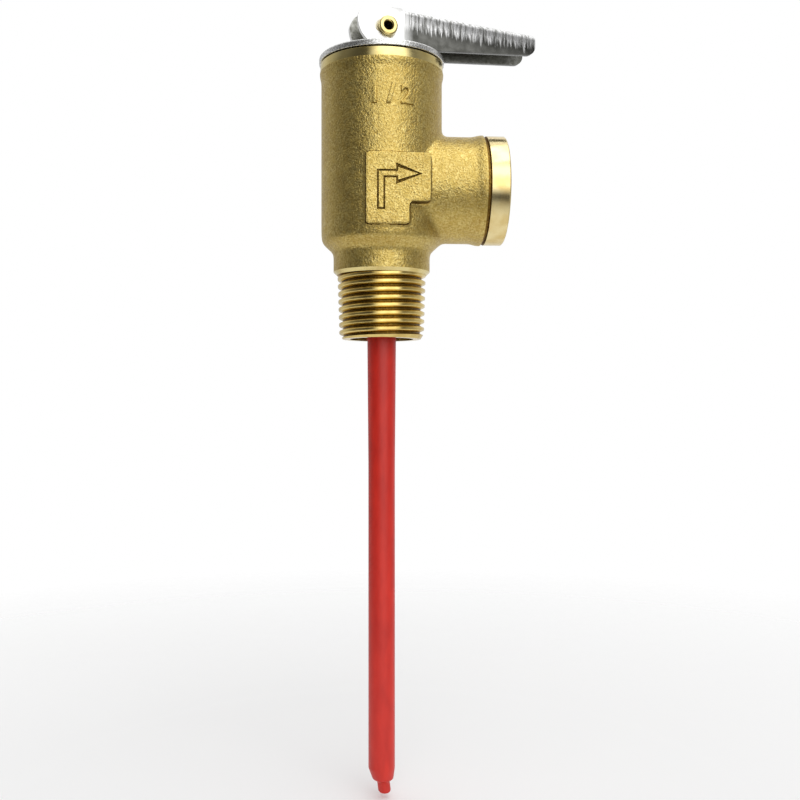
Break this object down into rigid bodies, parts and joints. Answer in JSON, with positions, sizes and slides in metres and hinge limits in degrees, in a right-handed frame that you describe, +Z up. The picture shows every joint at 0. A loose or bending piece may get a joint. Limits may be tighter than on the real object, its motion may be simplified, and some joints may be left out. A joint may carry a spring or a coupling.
{
  "type": "pressure relief valve",
  "caption": "Brass temperature and pressure relief valve with a threaded inlet, a side outlet, a swivelling steel test lever and a long red thermostat probe.",
  "frame": {"origin": "centre of the inlet thread's end face, which the probe hangs below", "axes": "+Z up the valve's axis to the test lever, +X out through the side outlet, -Y towards the face with the flow arrow"},
  "size_m": [0.0528, 0.0296, 0.1851],
  "materials": {
    "forged_brass": "forged, fine grain",
    "turned_brass": "machined bright",
    "bright_steel": "pressed sheet, bright plated",
    "spring_steel": "drawn wire and strip",
    "copper": "drawn copper tube",
    "red_coating": "smooth red sleeve",
    "rubber": "moulded",
    "slip_plastic": "low-friction plastic",
    "wax": "soft thermal wax"
  },
  "bodies": {
    "valve": {"valve_body": "forged_brass", "top_cap": "bright_steel", "cap_gasket": "rubber", "stem_bush": "slip_plastic", "stem_oring": "rubber", "gland_washer": "spring_steel", "setting_screw": "turned_brass", "lock_ring": "turned_brass", "spring_top_washer": "spring_steel", "pressure_spring": "spring_steel", "probe_spider": "turned_brass", "snap_ring": "spring_steel", "probe_head": "turned_brass", "probe_capsule": "copper", "probe_sleeve": "red_coating", "wax_charge": "wax", "wax_plug": "rubber"},
    "disc": {"disc_holder": "turned_brass", "seat_washer": "rubber", "washer_plate": "turned_brass", "washer_screw": "spring_steel", "stem_clip": "spring_steel", "spring_bottom_cup": "spring_steel"},
    "stem": {"stem": "turned_brass"},
    "lever": {"lever": "bright_steel", "lever_pin": "turned_brass"},
    "piston": {"piston": "bright_steel", "slip_disc": "slip_plastic"}
  },
  "joints": [
    {"name": "stem_lift", "type": "slide", "parent": "valve", "child": "disc", "axis": [0, 0, 1], "range_m": [0, 0.00259], "deforming": ["pressure_spring"]},
    {"name": "lever_swivel", "type": "hinge", "parent": "disc", "child": "stem", "pos_m": [0, 0, 0.0727], "axis": [0, 0, 1], "continuous": true},
    {"name": "lever_lift", "type": "hinge", "parent": "stem", "child": "lever", "pos_m": [0, 0, 0.0727], "axis": [0.2419, -0.9703, 0], "range_deg": [0, 90], "stiffness_Nm_per_rad": 0.03, "springref_deg": -114.59},
    {"name": "piston_travel", "type": "slide", "parent": "valve", "child": "piston", "axis": [0, 0, 1], "range_m": [0, 0.0015]}
  ],
  "couplings": [
    {"joint": "lever_lift", "follows": "stem_lift", "rad_per_m": 606.06}
  ]
}
